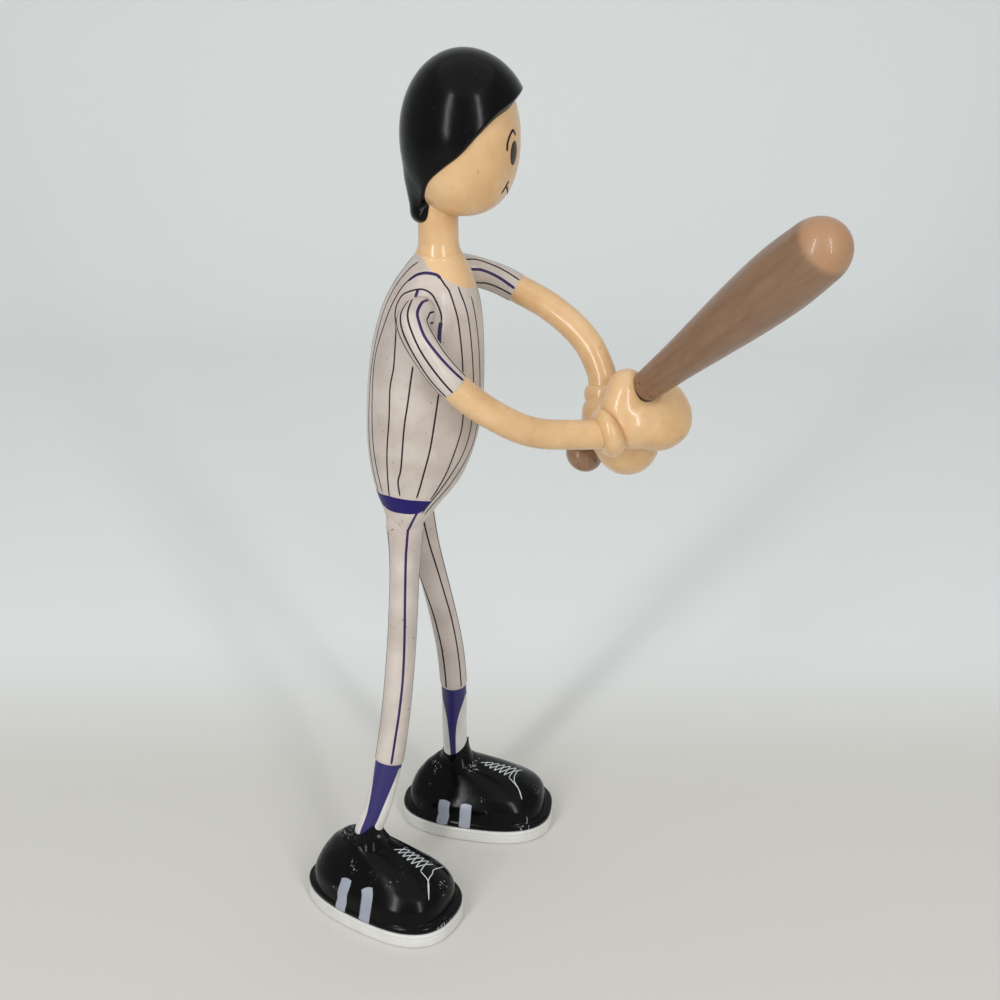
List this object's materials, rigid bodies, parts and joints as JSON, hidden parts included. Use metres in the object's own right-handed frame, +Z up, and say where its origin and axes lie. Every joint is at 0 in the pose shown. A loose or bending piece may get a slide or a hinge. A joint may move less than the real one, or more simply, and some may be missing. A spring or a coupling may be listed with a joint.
{
  "type": "bendable doll",
  "caption": "Slim bendable ball-player doll: soft skins over wire limbs, round-toed shoes, and fists closed round a long bat.",
  "frame": {"origin": "on the floor under the middle of the doll's bounding box", "axes": "+Z up, the doll faces -Y, its right hand is on the -X side"},
  "size_m": [0.0506, 0.0798, 0.1402],
  "materials": {
    "skin": "peach-tan gloss paint on soft vinyl",
    "jersey": "warm off-white gloss paint on soft vinyl",
    "sock": "white gloss paint",
    "hair": "black gloss paint",
    "shoe": "black high gloss paint",
    "sole": "white satin vinyl",
    "bat": "brown satin paint",
    "wire": "plain soft wire"
  },
  "bodies": {
    "torso": {"hip_clamp": "wire", "hip_wire": "wire", "shoulder_clamp": "wire", "shoulder_wire": "wire", "spine_wire": "wire", "torso_skin": "jersey"},
    "neck": {"neck_flex": "skin", "neck_skin": "skin", "neck_wire": "wire"},
    "head": {"hair_cap": "hair", "head_skin": "skin", "head_wire": "wire"},
    "right_upper_arm": {"right_shoulder_flex": "jersey", "right_sleeve": "jersey", "right_upper_arm_wire": "wire"},
    "right_forearm": {"right_elbow_flex": "skin", "right_forearm_skin": "skin", "right_forearm_wire": "wire"},
    "right_hand": {"right_fist": "skin", "right_hand_wire": "wire", "right_wrist_flex": "skin"},
    "bat": {"bat": "bat"},
    "left_upper_arm": {"left_shoulder_flex": "jersey", "left_sleeve": "jersey", "left_upper_arm_wire": "wire"},
    "left_forearm": {"left_elbow_flex": "skin", "left_forearm_skin": "skin", "left_forearm_wire": "wire"},
    "left_hand": {"left_fist": "skin", "left_hand_wire": "wire", "left_wrist_flex": "skin"},
    "right_thigh": {"right_hip_flex": "jersey", "right_thigh_skin": "jersey", "right_thigh_wire": "wire"},
    "right_shin": {"right_knee_flex": "jersey", "right_shin_skin": "jersey", "right_shin_wire": "wire", "right_sock": "sock"},
    "right_foot": {"right_ankle_flex": "sock", "right_foot_wire": "wire", "right_shoe_sole": "sole", "right_shoe_upper": "shoe"},
    "left_thigh": {"left_hip_flex": "jersey", "left_thigh_skin": "jersey", "left_thigh_wire": "wire"},
    "left_shin": {"left_knee_flex": "jersey", "left_shin_skin": "jersey", "left_shin_wire": "wire", "left_sock": "sock"},
    "left_foot": {"left_ankle_flex": "sock", "left_foot_wire": "wire", "left_shoe_sole": "sole", "left_shoe_upper": "shoe"}
  },
  "joints": [
    {"name": "neck_nod", "type": "hinge", "parent": "torso", "child": "neck", "pos_m": [0.00865, 0.01576, 0.112], "axis": [-1, 0, 0], "range_deg": [-25, 25], "deforming": ["neck_flex"]},
    {"name": "head_turn", "type": "hinge", "parent": "neck", "child": "head", "pos_m": [0.00865, 0.01576, 0.118], "axis": [0, 0, 1], "range_deg": [-60, 60]},
    {"name": "right_shoulder", "type": "hinge", "parent": "torso", "child": "right_upper_arm", "pos_m": [-0.00034, 0.01831, 0.1036], "axis": [-0.9888, 0.1203, -0.0879], "range_deg": [-10, 60], "deforming": ["right_shoulder_flex"]},
    {"name": "right_elbow", "type": "hinge", "parent": "right_upper_arm", "child": "right_forearm", "pos_m": [-0.00504, 0.01046, 0.09112], "axis": [-0.8764, 0.357, -0.3233], "range_deg": [-12, 45], "deforming": ["right_elbow_flex"]},
    {"name": "right_wrist", "type": "hinge", "parent": "right_forearm", "child": "right_hand", "pos_m": [0.00143, -0.00808, 0.08347], "axis": [-0.897, 0.1644, -0.4104], "range_deg": [-20, 25], "deforming": ["right_wrist_flex"]},
    {"name": "bat_spin", "type": "hinge", "parent": "right_hand", "child": "bat", "pos_m": [0.01789, -0.00654, 0.07593], "axis": [-0.6064, -0.4535, 0.6532], "continuous": true},
    {"name": "left_shoulder", "type": "hinge", "parent": "torso", "child": "left_upper_arm", "pos_m": [0.01762, 0.01612, 0.1052], "axis": [-0.9888, 0.1203, -0.0879], "range_deg": [-10, 60], "deforming": ["left_shoulder_flex"]},
    {"name": "left_elbow", "type": "hinge", "parent": "left_upper_arm", "child": "left_forearm", "pos_m": [0.01985, 0.00032, 0.1003], "axis": [-0.8764, 0.357, -0.3233], "range_deg": [-12, 45], "deforming": ["left_elbow_flex"]},
    {"name": "left_wrist", "type": "hinge", "parent": "left_forearm", "child": "left_hand", "pos_m": [0.0135, -0.01029, 0.089], "axis": [-0.897, 0.1644, -0.4104], "range_deg": [-20, 25], "deforming": ["left_wrist_flex"]},
    {"name": "right_hip", "type": "hinge", "parent": "torso", "child": "right_thigh", "pos_m": [0.00445, 0.02196, 0.06353], "axis": [-1, 0, 0], "range_deg": [-25, 70], "deforming": ["right_hip_flex"]},
    {"name": "right_knee", "type": "hinge", "parent": "right_thigh", "child": "right_shin", "pos_m": [-0.00109, 0.02329, 0.04033], "axis": [1, 0, 0], "range_deg": [-5, 100], "deforming": ["right_knee_flex"]},
    {"name": "right_ankle", "type": "hinge", "parent": "right_shin", "child": "right_foot", "pos_m": [-0.00658, 0.02786, 0.017], "axis": [-0.878, 0.4787, 0], "range_deg": [-25, 25], "deforming": ["right_ankle_flex"]},
    {"name": "left_hip", "type": "hinge", "parent": "torso", "child": "left_thigh", "pos_m": [0.01216, 0.01999, 0.06346], "axis": [-1, 0, 0], "range_deg": [-25, 70], "deforming": ["left_hip_flex"]},
    {"name": "left_knee", "type": "hinge", "parent": "left_thigh", "child": "left_shin", "pos_m": [0.01419, 0.01553, 0.04007], "axis": [1, 0, 0], "range_deg": [-5, 100], "deforming": ["left_knee_flex"]},
    {"name": "left_ankle", "type": "hinge", "parent": "left_shin", "child": "left_foot", "pos_m": [0.01687, 0.01474, 0.017], "axis": [-0.9921, 0.1253, 0], "range_deg": [-25, 25], "deforming": ["left_ankle_flex"]}
  ],
  "couplings": [
    {"joint": "left_shoulder", "follows": "right_shoulder", "ratio": 1},
    {"joint": "left_elbow", "follows": "right_elbow", "ratio": 1},
    {"joint": "left_wrist", "follows": "right_wrist", "ratio": 1}
  ]
}
